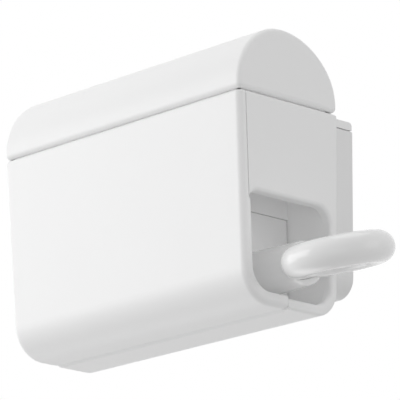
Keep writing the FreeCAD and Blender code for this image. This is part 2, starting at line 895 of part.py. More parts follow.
def screw(x, z, head_y, length, direction):
    """Pan-head screw along Y whose head bears at head_y and whose shank points along direction."""
    shank_low, shank_high = sorted([head_y, head_y + direction * length])
    head_low, head_high = sorted([head_y, head_y - direction * screw_head_height])
    shank = rod_y(screw_radius, shank_low, shank_high, x, z)
    head = rod_y(screw_head_radius, head_low, head_high, x, z)
    return fused([shank, head])


def make_cover_screws():
    head_y = cover_screw_head_y()
    return Part.makeCompound([screw(x, z, head_y, cover_screw_length, -1) for x, z in cover_boss_places()])


def make_reel_case_screws():
    screws = []
    for x, z in reel_lug_places():
        screws.append(screw(x, z, reel_screw_seat_y(x), reel_screw_length(x), 1))
    return Part.makeCompound(screws)


def make_reel_mount_screws():
    head_y = mount_screw_head_y()
    length = mount_ear_thickness + mount_screw_engagement
    return Part.makeCompound([screw(x, z, head_y, length, 1) for x, z in mount_places()])


def make_guide_plate():
    """Plate under the pocket's inner wall that closes its inner end round the line guide."""
    front = front_y + case_wall + guide_plate_gap
    top = pocket_top_z - guide_plate_gap
    low = pocket_floor_z + guide_plate_gap
    corners = [
        (front + lean_at(top), top),
        (front + lean_at(low), low),
        (pocket_rear_y - guide_plate_rear_gap, low),
        (pocket_rear_y - guide_plate_rear_gap, top),
    ]
    radii = [0, front_foot_radius - case_wall, pocket_rear_foot_radius, guide_plate_round]
    plate = along_x(corners, radii, nose_x, pocket_floor_x)
    hole = guide_collar_radius + guide_collar_gap
    return plate.cut(rod_x(hole, nose_x - overrun, pocket_floor_x + overrun, handle_y, handle_z))


def make_line_guide():
    """Slippery bush with flared mouths, clamped between the reel case shells."""
    bore = line_radius + line_slide_gap
    tail_x = nose_x - throat_nose_wall - guide_tail_thickness
    front_x = pocket_floor_x + guide_flange_thickness
    profile = [
        (tail_x, bore + guide_mouth_flare),
        (tail_x, guide_tail_radius),
        (nose_x - throat_nose_wall, guide_tail_radius),
        (nose_x - throat_nose_wall, guide_barrel_radius),
        (nose_x, guide_barrel_radius),
        (nose_x, guide_collar_radius),
        (pocket_floor_x, guide_collar_radius),
        (pocket_floor_x, guide_flange_radius),
        (front_x, guide_flange_radius),
        (front_x, bore + guide_mouth_flare),
        (front_x - guide_mouth_flare, bore),
        (tail_x + guide_mouth_flare, bore),
    ]
    return turned_x(profile, handle_y, handle_z)


def drum_front_y():
    """Outer face of the drum's front flange."""
    return handle_y - drum_width / 2 - flange_thickness


def drum_back_y():
    """Outer face of the drum's rear flange, where the spring cup starts."""
    return handle_y + drum_width / 2 + flange_thickness


def make_drum():
    """Line drum with two flanges and a spring cup on its rear side."""
    bore = axle_radius + running_gap + bush_wall
    cup_end = drum_back_y() + spring_cup_depth
    recess_end = drum_back_y() - drum_recess_floor
    profile = [
        (drum_front_y(), bore),
        (drum_front_y(), drum_recess_inner),
        (recess_end, drum_recess_inner),
        (recess_end, drum_recess_outer),
        (drum_front_y(), drum_recess_outer),
        (drum_front_y(), flange_radius),
        (drum_front_y() + flange_thickness, flange_radius),
        (drum_front_y() + flange_thickness, drum_core_radius),
        (drum_back_y() - flange_thickness, drum_core_radius),
        (drum_back_y() - flange_thickness, flange_radius),
        (drum_back_y(), flange_radius),
        (drum_back_y(), spring_cup_radius),
        (cup_end, spring_cup_radius),
        (cup_end, spring_cup_radius - spring_cup_wall / 2),
        (cup_end - spring_cover_seat, spring_cup_radius - spring_cup_wall / 2),
        (cup_end - spring_cover_seat, spring_cup_radius - spring_cup_wall),
        (drum_back_y(), spring_cup_radius - spring_cup_wall),
        (drum_back_y(), bore),
    ]
    return turned_y(profile, drum_centre_x, drum_z)


def make_spring_cover():
    """Disc that closes the spring cup."""
    seat_y = drum_back_y() + spring_cup_depth - spring_cover_seat
    disc = rod_y(spring_cup_radius - spring_cup_wall / 2, seat_y, seat_y + spring_cover_thickness,
                 drum_centre_x, drum_z)
    hole = axle_radius + line_slide_gap
    return disc.cut(rod_y(hole, seat_y - overrun, seat_y + overrun, drum_centre_x, drum_z))


def make_power_spring():
    """Flat spiral spring of half turns from the axle to the cup wall."""
    inner = axle_radius + spring_arbor_gap + spring_strip / 2
    outer = spring_cup_radius - spring_cup_wall - spring_end_gap - spring_strip / 2
    pitch = (outer - inner) / spring_turns
    y_from = drum_back_y() + bush_flange_thickness + spring_side_gap
    pieces = []
    centre_x = drum_centre_x
    radius = inner
    side = 1
    for index in range(2 * spring_turns):
        centre = vector(centre_x, y_from, drum_z)
        start = centre + vector(side * radius, 0, 0)
        middle = centre + vector(0, 0, side * radius)
        end = centre - vector(side * radius, 0, 0)
        pieces.append(Part.Arc(start, middle, end).toShape())
        centre_x = centre_x + side * pitch / 2
        radius = radius + pitch / 2
        side = -side
    wire = Part.Wire(pieces)
    tangent_start = wire.Edges[0].valueAt(wire.Edges[0].FirstParameter)
    half = spring_strip / 2
    section = Part.makePolygon([
        tangent_start + vector(-half, 0, 0),
        tangent_start + vector(half, 0, 0),
        tangent_start + vector(half, spring_width, 0),
        tangent_start + vector(-half, spring_width, 0),
        tangent_start + vector(-half, 0, 0),
    ])
    return wire.makePipeShell([section], True, False)


def make_axle():
    """Fixed steel axle between the reel case shells."""
    seat = reel_wall - axle_seat + axle_end_gap
    return rod_y(axle_radius, reel_front_y + seat, reel_back_y - seat, drum_centre_x, drum_z)


def bush_places():
    """(start, direction) of the drum's two bushes."""
    return [(drum_front_y(), 1), (drum_back_y(), -1)]


def make_drum_bushes():
    bore = axle_radius + running_gap
    body = bore + bush_wall
    bushes = []
    for start, direction in bush_places():
        outside = start - direction * bush_flange_thickness
        profile = [
            (outside, bore),
            (outside, bush_flange_radius),
            (start, bush_flange_radius),
            (start, body),
            (start + direction * bush_length, body),
            (start + direction * bush_length, bore),
        ]
        bushes.append(turned_y(profile, drum_centre_x, drum_z))
    return Part.makeCompound(bushes)


def make_wound_line():
    """The line on the drum, as the plain ring that its turns fill."""
    y_from = handle_y - drum_width / 2
    outer = wound_radius - line_radius - wound_gap
    y_to = y_from + drum_width
    ring = rod_y(outer, y_from, y_to, drum_centre_x, drum_z)
    return ring.cut(rod_y(drum_core_radius, y_from - overrun, y_to + overrun, drum_centre_x, drum_z))


def stem_base_x():
    return pocket_floor_x + stem_dock_gap


def stem_web_x():
    """Inner face of the web that the crimp pulls against."""
    return stem_base_x() + stem_web_setback + stem_web


def make_line_lead():
    """Straight line from the drum through the guide to the crimp in the stem."""
    return rod_x(line_radius, drum_centre_x, stem_web_x(), handle_y, handle_z)


def make_line_crimp():
    return rod_x(crimp_radius, stem_web_x(), stem_web_x() + crimp_length, handle_y, handle_z)


def ring_torus(tube_radius):
    """Ring about its own centre, with its plane through X and rolled about X."""
    ring = Part.makeTorus(ring_radius, tube_radius)
    ring.rotate(vector(0, 0, 0), vector(1, 0, 0), ring_roll)
    ring.translate(vector(ring_x, handle_y, handle_z))
    return ring


def make_finger_ring():
    """Thick finger ring with a spigot that plugs into the stem."""
    tube_centre_x = ring_x - ring_radius
    spigot_end = tube_centre_x - ring_tube_radius - spigot_length
    spigot = rod_x(spigot_radius, spigot_end, tube_centre_x, handle_y, handle_z)
    return fused([ring_torus(ring_tube_radius), spigot])


def make_pull_stem():
    """Bell-shaped stem: open at its base, with a web for the line and a socket for the ring."""
    end_x = half_length + stem_reach
    base = stem_base_x()
    slope_end = end_x - stem_end_round
    mid_share = math.sqrt(0.5)
    y = handle_y
    z = handle_z

    def at(x, radius):
        return vector(x, y, z + radius)

    end_flat = stem_end_radius - stem_end_round
    round_mid = at(slope_end + stem_end_round * mid_share, end_flat + stem_end_round * mid_share)
    rim_end = base + stem_base_edge
    flare_rise = stem_flare_radius - stem_radius
    flare_turn = math.acos(1 - flare_rise / stem_flare_round)
    flare_end = rim_end + stem_flare_round * math.sin(flare_turn)
    flare_top = stem_radius + stem_flare_round
    flare_mid = at(flare_end - stem_flare_round * math.sin(flare_turn / 2),
                   flare_top - stem_flare_round * math.cos(flare_turn / 2))
    edges = [
        Part.LineSegment(at(base, 0), at(base, stem_flare_radius)).toShape(),
        Part.LineSegment(at(base, stem_flare_radius), at(rim_end, stem_flare_radius)).toShape(),
        Part.Arc(at(rim_end, stem_flare_radius), flare_mid, at(flare_end, stem_radius)).toShape(),
        Part.LineSegment(at(flare_end, stem_radius), at(slope_end, stem_end_radius)).toShape(),
        Part.Arc(at(slope_end, stem_end_radius), round_mid, at(end_x, end_flat)).toShape(),
        Part.LineSegment(at(end_x, end_flat), at(end_x, 0)).toShape(),
        Part.LineSegment(at(end_x, 0), at(base, 0)).toShape(),
    ]
    face = Part.Face(Part.Wire(edges))
    solid = face.revolve(vector(0, y, z), vector(1, 0, 0))
    web_low = stem_web_x() - stem_web
    solid = solid.cut(rod_x(stem_radius - stem_wall, base - overrun, web_low, y, z))
    solid = solid.cut(rod_x(line_radius, web_low - overrun, stem_web_x() + overrun, y, z))
    solid = solid.cut(rod_x(spigot_radius, stem_web_x(), end_x + overrun, y, z))
    return solid.cut(ring_torus(ring_tube_radius + stem_ring_gap))


def export(name, shape):
    shape.exportStep("parts/" + name + ".step")


def main():
    os.makedirs("parts", exist_ok=True)
    export("wall_bracket", make_wall_bracket())
    export("rear_housing", make_rear_housing(case_outer(end_round)))
    export("front_cover", make_front_cover(case_outer(cover_end_round)))
    export("cover_screws", make_cover_screws())
    export("hood", make_hood())
    export("hood_hinge_pins", make_hinge_pins())
    export("reel_case_front", make_reel_case_front())
    export("reel_case_back", make_reel_case_back())
    export("reel_case_screws", make_reel_case_screws())
    export("reel_mount_screws", make_reel_mount_screws())
    export("guide_plate", make_guide_plate())
    export("line_guide", make_line_guide())
    export("reel_axle", make_axle())
    export("power_spring", make_power_spring())
    export("line_drum", make_drum())
    export("drum_bushes", make_drum_bushes())
    export("spring_cover", make_spring_cover())
    export("wound_line", make_wound_line())
    export("line_lead", make_line_lead())
    export("line_crimp", make_line_crimp())
    export("pull_stem", make_pull_stem())
    export("finger_ring", make_finger_ring())


main()
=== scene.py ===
import math

import bmesh
import bpy
from bpy.props import FloatProperty, FloatVectorProperty, IntProperty, PointerProperty
from mathutils import Matrix, Vector


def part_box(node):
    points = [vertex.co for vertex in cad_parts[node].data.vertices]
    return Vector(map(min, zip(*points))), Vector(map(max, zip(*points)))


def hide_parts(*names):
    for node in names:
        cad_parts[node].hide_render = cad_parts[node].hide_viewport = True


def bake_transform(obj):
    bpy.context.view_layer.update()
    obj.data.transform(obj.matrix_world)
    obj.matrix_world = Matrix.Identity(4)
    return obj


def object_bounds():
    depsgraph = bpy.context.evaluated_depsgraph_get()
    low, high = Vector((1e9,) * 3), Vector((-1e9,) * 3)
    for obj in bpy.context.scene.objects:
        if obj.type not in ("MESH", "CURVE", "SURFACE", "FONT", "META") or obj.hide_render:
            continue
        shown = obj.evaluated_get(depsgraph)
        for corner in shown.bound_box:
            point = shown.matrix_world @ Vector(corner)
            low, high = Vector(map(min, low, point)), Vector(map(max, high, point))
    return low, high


# Finishes, line and studio for a wall-hung retractable clothes line with a domed hood.
# Lengths are in metres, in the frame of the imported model: X along the case to the ring, Y into the wall.

bl_info = {
    "name": "Retractable clothes line",
    "version": (1, 0, 0),
    "blender": (4, 5, 0),
    "location": "3D View > Sidebar > Clothes line",
    "description": "Finishes, line and studio for a wall-hung retractable clothes line",
    "category": "Object",
}

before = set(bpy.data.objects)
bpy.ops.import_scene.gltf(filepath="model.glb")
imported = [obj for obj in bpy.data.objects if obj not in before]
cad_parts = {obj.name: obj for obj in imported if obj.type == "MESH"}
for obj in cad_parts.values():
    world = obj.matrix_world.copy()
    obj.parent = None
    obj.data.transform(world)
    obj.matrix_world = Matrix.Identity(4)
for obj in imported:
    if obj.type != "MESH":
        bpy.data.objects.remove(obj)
cad_low, cad_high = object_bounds()

MM = 0.001
SHARP_ANGLE = math.radians(32)

# Nodes by what they are made of; the frame says which body carries each
CASE_NODES = ("front_cover", "rear_housing", "hood")
BRACKET_NODES = ("wall_bracket",)
HANDLE_NODES = ("pull_stem", "finger_ring")
UNIT_NODES = ("reel_case_front", "reel_case_back", "guide_plate")
DRUM_NODES = ("line_drum", "spring_cover")
BUSH_NODES = ("drum_bushes", "line_guide")
SCREW_NODES = ("cover_screws", "reel_case_screws", "reel_mount_screws", "line_crimp")
PIN_NODES = ("hood_hinge_pins", "reel_axle")
SPRING_NODES = ("power_spring",)
WOUND_NODES = ("wound_line",)

# Heights on the mouldings: the mould's grain, and the slow waves that cooling leaves
CASE_GRAIN = 0.006 * MM
CASE_WAVES = 0.05 * MM
BRACKET_GRAIN = 0.008 * MM
BRACKET_WAVES = 0.06 * MM
HANDLE_GRAIN = 0.0005 * MM
HANDLE_WAVES = 0.02 * MM
REEL_GRAIN = 0.01 * MM
REEL_WAVES = 0.05 * MM

# Roughness that the bracket and the reel unit have over the case
BRACKET_ROUGHER = 0.05
UNIT_ROUGHER = 0.08

# How far each finish's roughness goes below and above its middle
ABS_SPREAD = (0.03, 0.04)
PLATING_SPREAD = (0.06, 0.1)
DRAWN_SPREAD = (0.05, 0.08)

# Lowest and highest roughness where no setting gives the middle
ACETAL_ROUGHNESS = (0.28, 0.4)
COAT_ROUGHNESS = (0.34, 0.44)

# Share of the light that each finish's darkest marks take away
FLOW_SHADE = 0.022
HAZE_SHADE = 0.05
PLATING_SHADE = 0.14
BRAID_SHADE = 0.06

# Widths and depths of those marks
HAZE_WIDTH = 4 * MM
PLATING_WIDTH = 1.5 * MM
DRAWN_WIDTH = 0.25 * MM
DRAWN_DEPTH = 0.01 * MM
BRAID_DEPTH = 0.08 * MM

# Stretch of the drawn lines: they are twenty times as long as wide, along X or along Y
LINES_ALONG_X = (0.05, 1.0, 1.0)
LINES_ALONG_Y = (1.0, 0.05, 1.0)

# Most values of a noise pattern lie between these
NOISE_LOW = 0.3
NOISE_HIGH = 0.7

# Length over which a wave pattern of scale 1 repeats
WAVE_LENGTH = math.pi / 10

# Places of a colour mix's sockets; by name they can't be told from those of its other kinds
MIX_SHARE = 0
MIX_FIRST = 6
MIX_SECOND = 7
MIX_RESULT = 2

# Ways from the object to the lamps
KEY_WAY = Vector((-0.50, -0.82, 0.22))
SIDE_WAY = Vector((-1.0, -0.5, 0.1))
TOP_WAY = Vector((0.1, 0.1, 1.0))
UNDER_WAY = Vector((-0.60, 0.25, -0.76))
BACK_WAY = Vector((1.0, 0.42, 0.15))
FILL_WAY = Vector((0.70, -0.66, -0.27))

# Floor: half of its side, its paint as it shows, and as it throws light up
FLOOR_HALF = 6.0
FLOOR_SHOWN = "fafafa"
FLOOR_THROWN = "e2e2e2"

# Camera: its sensor's width in millimetres, and how far it sees
SENSOR_WIDTH = 36.0
SIGHT = 50.0


def linear(code):
    """Linear colour of an sRGB hex code, by the sRGB standard's own curve."""
    channels = []
    for start in (0, 2, 4):
        value = int(code[start:start + 2], 16) / 255
        low = value <= 0.04045
        channels.append(value / 12.92 if low else ((value + 0.055) / 1.055) ** 2.4)
    return (channels[0], channels[1], channels[2], 1.0)


class CasingSettings(bpy.types.PropertyGroup):
    """Mouldings of the case, the bracket, the handle and the reel."""

    casing_colour: FloatVectorProperty(
        name="Casing", description="Colour of the case and the hood", subtype="COLOR",
        size=4, min=0, max=1, default=linear("fbfbfb"))
    bracket_colour: FloatVectorProperty(
        name="Bracket", description="Colour of the wall bracket", subtype="COLOR",
        size=4, min=0, max=1, default=linear("f1f1f1"))
    handle_colour: FloatVectorProperty(
        name="Handle", description="Colour of the ring and its stem", subtype="COLOR",
        size=4, min=0, max=1, default=linear("fbfbfb"))
    unit_colour: FloatVectorProperty(
        name="Reel unit", description="Colour of the reel case and the guide plate", subtype="COLOR",
        size=4, min=0, max=1, default=linear("f8f8f8"))
    drum_colour: FloatVectorProperty(
        name="Drum", description="Colour of the drum and the spring's cover", subtype="COLOR",
        size=4, min=0, max=1, default=linear("e6e6e4"))
    casing_roughness: FloatProperty(
        name="Casing roughness", description="Roughness of the satin casing", min=0, max=1, default=0.42)
    handle_roughness: FloatProperty(
        name="Handle roughness", description="Roughness of the polished handle", min=0, max=1, default=0.13)
    grain_size: FloatProperty(
        name="Grain", description="Width of one grain of the etched mould", subtype="DISTANCE",
        min=0.1 * MM, max=5 * MM, default=0.7 * MM)
    wave_size: FloatProperty(
        name="Wave width", description="Width of the slow waves that cooling leaves in a flat wall",
        subtype="DISTANCE", min=5 * MM, max=200 * MM, default=34 * MM)


class FittingSettings(bpy.types.PropertyGroup):
    """Screws, pins, spring and bushes."""

    screw_colour: FloatVectorProperty(
        name="Screws", description="Colour of the screws' and the crimp's plating", subtype="COLOR",
        size=4, min=0, max=1, default=linear("c9ccd0"))
    screw_roughness: FloatProperty(
        name="Screw roughness", description="Roughness of the plating", min=0, max=1, default=0.32)
    pin_colour: FloatVectorProperty(
        name="Pins", description="Colour of the hinge pins and the axle", subtype="COLOR",
        size=4, min=0, max=1, default=linear("bfc1c4"))
    pin_roughness: FloatProperty(
        name="Pin roughness", description="Roughness of the pins and the axle", min=0, max=1, default=0.24)
    spring_colour: FloatVectorProperty(
        name="Spring", description="Colour of the power spring", subtype="COLOR",
        size=4, min=0, max=1, default=linear("7d828c"))
    spring_roughness: FloatProperty(
        name="Spring roughness", description="Roughness of the power spring", min=0, max=1, default=0.3)
    bush_colour: FloatVectorProperty(
        name="Bushes", description="Colour of the drum's bushes and the line's guide", subtype="COLOR",
        size=4, min=0, max=1, default=linear("e9e7dd"))


class LineSettings(bpy.types.PropertyGroup):
    """Coated line."""

    line_colour: FloatVectorProperty(
        name="Line", description="Colour of the line's coat", subtype="COLOR",
        size=4, min=0, max=1, default=linear("eeeeea"))
    line_diameter: FloatProperty(
        name="Diameter", description="Diameter of the line", subtype="DISTANCE",
        min=1 * MM, max=5 * MM, default=2.4 * MM)
    braid_pitch: FloatProperty(
        name="Braid pitch", description="Length of one crossing of the braid under the coat",
        subtype="DISTANCE", min=1 * MM, max=10 * MM, default=2.0106 * MM)
    line_rings: IntProperty(
        name="Rings", description="Rings of faces along the line", min=8, max=600, default=160)
    line_sides: IntProperty(
        name="Sides", description="Faces round the line", min=8, max=64, default=24)


class StudioSettings(bpy.types.PropertyGroup):
    """Camera, lamps, floor and surroundings."""

    azimuth: FloatProperty(
        name="Azimuth", description="Turn of the camera about the vertical, from the front",
        subtype="ANGLE", default=math.radians(46.3283))
    elevation: FloatProperty(
        name="Elevation", description="Height of the camera over the horizon; it looks up from below",
        subtype="ANGLE", default=math.radians(-15.5661))
    roll: FloatProperty(
        name="Roll", description="Tilt of the camera about its own axis", subtype="ANGLE",
        default=math.radians(-0.4631))
    camera_distance: FloatProperty(
        name="Camera distance", description="Distance from the camera to its aim, along its axis",
        subtype="DISTANCE", min=0.1, max=20, default=1.63647)
    camera_aim: FloatVectorProperty(
        name="Aim", description="Point that the camera looks at", subtype="XYZ_LENGTH",
        default=(0.060265, -0.080555, -0.004124))
    lens: FloatProperty(
        name="Focal length", description="Focal length of the camera, in millimetres",
        min=20, max=600, default=320.5)
    floor_drop: FloatProperty(
        name="Floor", description="Depth of the floor under the wall face's centre", subtype="DISTANCE",
        min=0.1, max=10, default=3.0)
    floor_glow: FloatProperty(
        name="Floor glow", description="Light that the floor adds where it is seen, to look white",
        min=0, max=1, default=0.42)
    sky_strength: FloatProperty(
        name="Ambient", description="Even light from all round the object", min=0, max=5, default=0.53)
    key_strength: FloatProperty(
        name="Key", description="Power of the lamp in front, to the left and above", subtype="POWER",
        min=0, max=500, default=4.7)
    side_strength: FloatProperty(
        name="Side", description="Power of the lamp on the left", subtype="POWER",
        min=0, max=500, default=3.1)
    top_strength: FloatProperty(
        name="Top", description="Power of the lamp overhead", subtype="POWER",
        min=0, max=500, default=2.0)
    under_strength: FloatProperty(
        name="Under", description="Power of the lamp below, on the left", subtype="POWER",
        min=0, max=500, default=2.7)
    back_strength: FloatProperty(
        name="Back", description="Power of the lamp on the right, towards the wall", subtype="POWER",
        min=0, max=500, default=1.3)
    fill_strength: FloatProperty(
        name="Fill", description="Power of the lamp that reaches into the pocket", subtype="POWER",
        min=0, max=500, default=0.8)
    lamp_distance: FloatProperty(
        name="Lamp distance", description="Distance from the object to each lamp", subtype="DISTANCE",
        min=0.5, max=5, default=1.3)
    lamp_size: FloatProperty(
        name="Lamp size", description="Side of each square lamp", subtype="DISTANCE",
        min=0.1, max=3, default=0.8)
    light_passes: IntProperty(
        name="Light passes", description="Times that light is passed on between white walls",
        min=1, max=64, default=12)


def add(tree, kind, settings=None, links=None):
    """New node; settings name its properties or inputs, and links name inputs and what feeds them."""
    node = tree.nodes.new(kind)
    for name, value in (settings or {}).items():
        if isinstance(name, int) or name in node.inputs:
            node.inputs[name].default_value = value
        else:
            setattr(node, name, value)
    for name, output in (links or {}).items():
        tree.links.new(output, node.inputs[name])
    return node


def new_finish(name):
    """Empty material and the tree to build it in."""
    finish = bpy.data.materials.new(name)
    finish.use_nodes = True
    finish.node_tree.nodes.clear()
    return finish, finish.node_tree


def object_place(tree):
    """Place on the object, in metres, so that a pattern keeps its real size."""
    return add(tree, "ShaderNodeTexCoord").outputs["Object"]


def noise(tree, place, width, detail, roughness=0.5):
    """Random pattern from 0 to 1, with marks that are about so wide."""
    pattern = add(tree, "ShaderNodeTexNoise",
                  {"Scale": 1 / width, "Detail": detail, "Roughness": roughness}, {"Vector": place})
    return pattern.outputs["Fac"]


def between(tree, low, high, share):
    """Value that goes from low to high as the share goes from 0 to 1."""
    value = add(tree, "ShaderNodeMapRange", {"To Min": low, "To Max": high}, {"Value": share})
    return value.outputs["Result"]


def mixed(tree, first, second, share):
    """Colour that goes from the first to the second as the share goes from 0 to 1."""
    mix = add(tree, "ShaderNodeMix", {"data_type": "RGBA", MIX_FIRST: first, MIX_SECOND: second},
              {MIX_SHARE: share})
    return mix.outputs[MIX_RESULT]


def darker(colour, share):
    """The same colour with that share of its light taken away."""
    return (colour[0] * (1 - share), colour[1] * (1 - share), colour[2] * (1 - share), 1.0)


def show(tree, shader):
    """Make the shader the surface of the tree's material."""
    add(tree, "ShaderNodeOutputMaterial", {}, {"Surface": shader})


def moulded_abs(name, colour, roughness, casing, grain_height, wave_height):
    """ABS, injection moulded: an even, dense white with a soft sheen.

    The eye sees slow waves where the wall cooled, a trace of flow in the colour and the fine
    grain of the tool. A real grain is about 0.1 mm; it is drawn coarser so that it shows.
    """
    finish, tree = new_finish(name)
    place = object_place(tree)
    flow = noise(tree, place, casing.wave_size, detail=3.0)
    grain = noise(tree, place, casing.grain_size, detail=2.0, roughness=0.6)
    smoother, rougher = ABS_SPREAD
    gloss = add(tree, "ShaderNodeMapRange",
                {"From Min": NOISE_LOW, "From Max": NOISE_HIGH,
                 "To Min": roughness - smoother, "To Max": roughness + rougher},
                {"Value": grain})
    waves = add(tree, "ShaderNodeBump", {"Strength": 1.0, "Distance": wave_height}, {"Height": flow})
    relief = add(tree, "ShaderNodeBump", {"Strength": 1.0, "Distance": grain_height},
                 {"Height": grain, "Normal": waves.outputs["Normal"]})
    surface = add(tree, "ShaderNodeBsdfPrincipled",
                  {"IOR": 1.53, "Subsurface Weight": 0.08, "Subsurface Radius": (1.0, 1.0, 1.0),
                   "Subsurface Scale": 0.8 * MM},
                  {"Base Color": mixed(tree, colour, darker(colour, FLOW_SHADE), flow),
                   "Roughness": gloss.outputs["Result"], "Normal": relief.outputs["Normal"]})
    show(tree, surface.outputs["BSDF"])
    return finish


def moulded_acetal(name, colour):
    """Acetal, injection moulded: slippery and slightly see-through, so its edges look soft and waxy."""
    finish, tree = new_finish(name)
    haze = noise(tree, object_place(tree), HAZE_WIDTH, detail=2.0)
    smoothest, roughest = ACETAL_ROUGHNESS
    surface = add(tree, "ShaderNodeBsdfPrincipled",
                  {"IOR": 1.48, "Subsurface Weight": 0.25, "Subsurface Radius": (1.0, 0.95, 0.85),
                   "Subsurface Scale": 1.2 * MM},
                  {"Base Color": mixed(tree, colour, darker(colour, HAZE_SHADE), haze),
                   "Roughness": between(tree, smoothest, roughest, haze)})
    show(tree, surface.outputs["BSDF"])
    return finish


def plated_steel(name, colour, roughness):
    """Steel, zinc plated: a cool grey that is cloudy where the plating grew unevenly."""
    finish, tree = new_finish(name)
    cloud = noise(tree, object_place(tree), PLATING_WIDTH, detail=4.0)
    smoother, rougher = PLATING_SPREAD
    surface = add(tree, "ShaderNodeBsdfPrincipled", {"Metallic": 1.0},
                  {"Base Color": mixed(tree, colour, darker(colour, PLATING_SHADE), cloud),
                   "Roughness": between(tree, roughness - smoother, roughness + rougher, cloud)})
    show(tree, surface.outputs["BSDF"])
    return finish


def drawn_steel(name, colour, roughness, stretch):
    """Steel, cold drawn or rolled: a bright grey with fine lines that run one way."""
    finish, tree = new_finish(name)
    drawn = add(tree, "ShaderNodeMapping", {"Scale": stretch}, {"Vector": object_place(tree)})
    lines = noise(tree, drawn.outputs["Vector"], DRAWN_WIDTH, detail=3.0)
    smoother, rougher = DRAWN_SPREAD
    relief = add(tree, "ShaderNodeBump", {"Strength": 0.3, "Distance": DRAWN_DEPTH}, {"Height": lines})
    surface = add(tree, "ShaderNodeBsdfPrincipled", {"Metallic": 1.0, "Base Color": colour},
                  {"Roughness": between(tree, roughness - smoother, roughness + rougher, lines),
                   "Normal": relief.outputs["Normal"]})
    show(tree, surface.outputs["BSDF"])
    return finish


def coated_line(name, colour, pitch):
    """Polyester braid, coated in soft PVC: a low gloss, with the braid's crossings just felt under it."""
    finish, tree = new_finish(name)
    wave = add(tree, "ShaderNodeTexWave",
               {"wave_type": "BANDS", "bands_direction": "X", "Scale": WAVE_LENGTH / pitch,
                "Distortion": 0.6, "Detail": 1.0, "Detail Scale": 2.0},
               {"Vector": object_place(tree)})
    crossing = wave.outputs["Fac"]
    smoothest, roughest = COAT_ROUGHNESS
    relief = add(tree, "ShaderNodeBump", {"Strength": 0.6, "Distance": BRAID_DEPTH}, {"Height": crossing})
    surface = add(tree, "ShaderNodeBsdfPrincipled", {"IOR": 1.54},
                  {"Base Color": mixed(tree, colour, darker(colour, BRAID_SHADE), crossing),
                   "Roughness": between(tree, smoothest, roughest, crossing),
                   "Normal": relief.outputs["Normal"]})
    show(tree, surface.outputs["BSDF"])
    return finish


def dress(nodes, finish):
    """Give the nodes one finish, with smooth faces that break at sharp edges."""
    for name in nodes:
        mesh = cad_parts[name].data
        mesh.materials.clear()
        mesh.materials.append(finish)
        mesh.shade_smooth()
        mesh.set_sharp_from_angle(angle=SHARP_ANGLE)


class CLOTHESLINE_OT_finish_casing(bpy.types.Operator):
    """Finish the case, the hood and the wall bracket"""

    bl_idname = "clothesline.finish_casing"
    bl_label = "Finish casing"

    def execute(self, context):
        casing = context.scene.casing
        satin = moulded_abs("moulded_satin_abs", casing.casing_colour[:], casing.casing_roughness,
                            casing, CASE_GRAIN, CASE_WAVES)
        matt = moulded_abs("moulded_bracket_abs", casing.bracket_colour[:],
                           casing.casing_roughness + BRACKET_ROUGHER, casing, BRACKET_GRAIN, BRACKET_WAVES)
        dress(CASE_NODES, satin)
        dress(BRACKET_NODES, matt)
        return {"FINISHED"}


class CLOTHESLINE_OT_finish_handle(bpy.types.Operator):
    """Finish the finger ring and its stem"""

    bl_idname = "clothesline.finish_handle"
    bl_label = "Finish handle"

    def execute(self, context):
        casing = context.scene.casing
        polished = moulded_abs("moulded_polished_abs", casing.handle_colour[:], casing.handle_roughness,
                               casing, HANDLE_GRAIN, HANDLE_WAVES)
        dress(HANDLE_NODES, polished)
        return {"FINISHED"}


class CLOTHESLINE_OT_finish_reel(bpy.types.Operator):
    """Finish the reel case, the drum and the bushes"""

    bl_idname = "clothesline.finish_reel"
    bl_label = "Finish reel"

    def execute(self, context):
        casing = context.scene.casing
        unit = moulded_abs("moulded_reel_abs", casing.unit_colour[:],
                           casing.casing_roughness + UNIT_ROUGHER, casing, REEL_GRAIN, REEL_WAVES)
        drum = moulded_abs("moulded_drum_abs", casing.drum_colour[:], casing.casing_roughness,
                           casing, REEL_GRAIN, REEL_WAVES)
        dress(UNIT_NODES, unit)
        dress(DRUM_NODES, drum)
        dress(BUSH_NODES, moulded_acetal("moulded_acetal", context.scene.fittings.bush_colour[:]))
        return {"FINISHED"}


class CLOTHESLINE_OT_finish_metal(bpy.types.Operator):
    """Finish the screws, the crimp, the pins, the axle and the spring"""

    bl_idname = "clothesline.finish_metal"
    bl_label = "Finish metal"

    def execute(self, context):
        fittings = context.scene.fittings
        zinc = plated_steel("zinc_plated_steel", fittings.screw_colour[:], fittings.screw_roughness)
        bright = drawn_steel("drawn_bright_steel", fittings.pin_colour[:], fittings.pin_roughness,
                             LINES_ALONG_X)
        rolled = drawn_steel("rolled_spring_steel", fittings.spring_colour[:], fittings.spring_roughness,
                             LINES_ALONG_Y)
        dress(SCREW_NODES, zinc)
        dress(PIN_NODES, bright)
        dress(SPRING_NODES, rolled)
        return {"FINISHED"}


def tube_along_x(name, x_from, x_to, y, z, radius, rings, sides):
    """Closed round tube along X as a new object."""
    shape = bmesh.new()
    loops = []
    for ring in range(rings + 1):
        x = x_from + (x_to - x_from) * ring / rings
        loop = []
        for side in range(sides):
            turn = 2 * math.pi * side / sides
            loop.append(shape.verts.new((x, y + radius * math.cos(turn), z + radius * math.sin(turn))))
        loops.append(loop)
    for before, after in zip(loops, loops[1:]):
        for side in range(sides):
            following = (side + 1) % sides
            shape.faces.new((before[side], before[following], after[following], after[side]))
    shape.faces.new(loops[0][::-1])
    shape.faces.new(loops[-1])
    bmesh.ops.recalc_face_normals(shape, faces=shape.faces)
    mesh = bpy.data.meshes.new(name)
    shape.to_mesh(mesh)
    shape.free()
    mesh.shade_smooth()
    mesh.set_sharp_from_angle(angle=SHARP_ANGLE)
    piece = bpy.data.objects.new(name, mesh)
    bpy.context.scene.collection.objects.link(piece)
    return piece


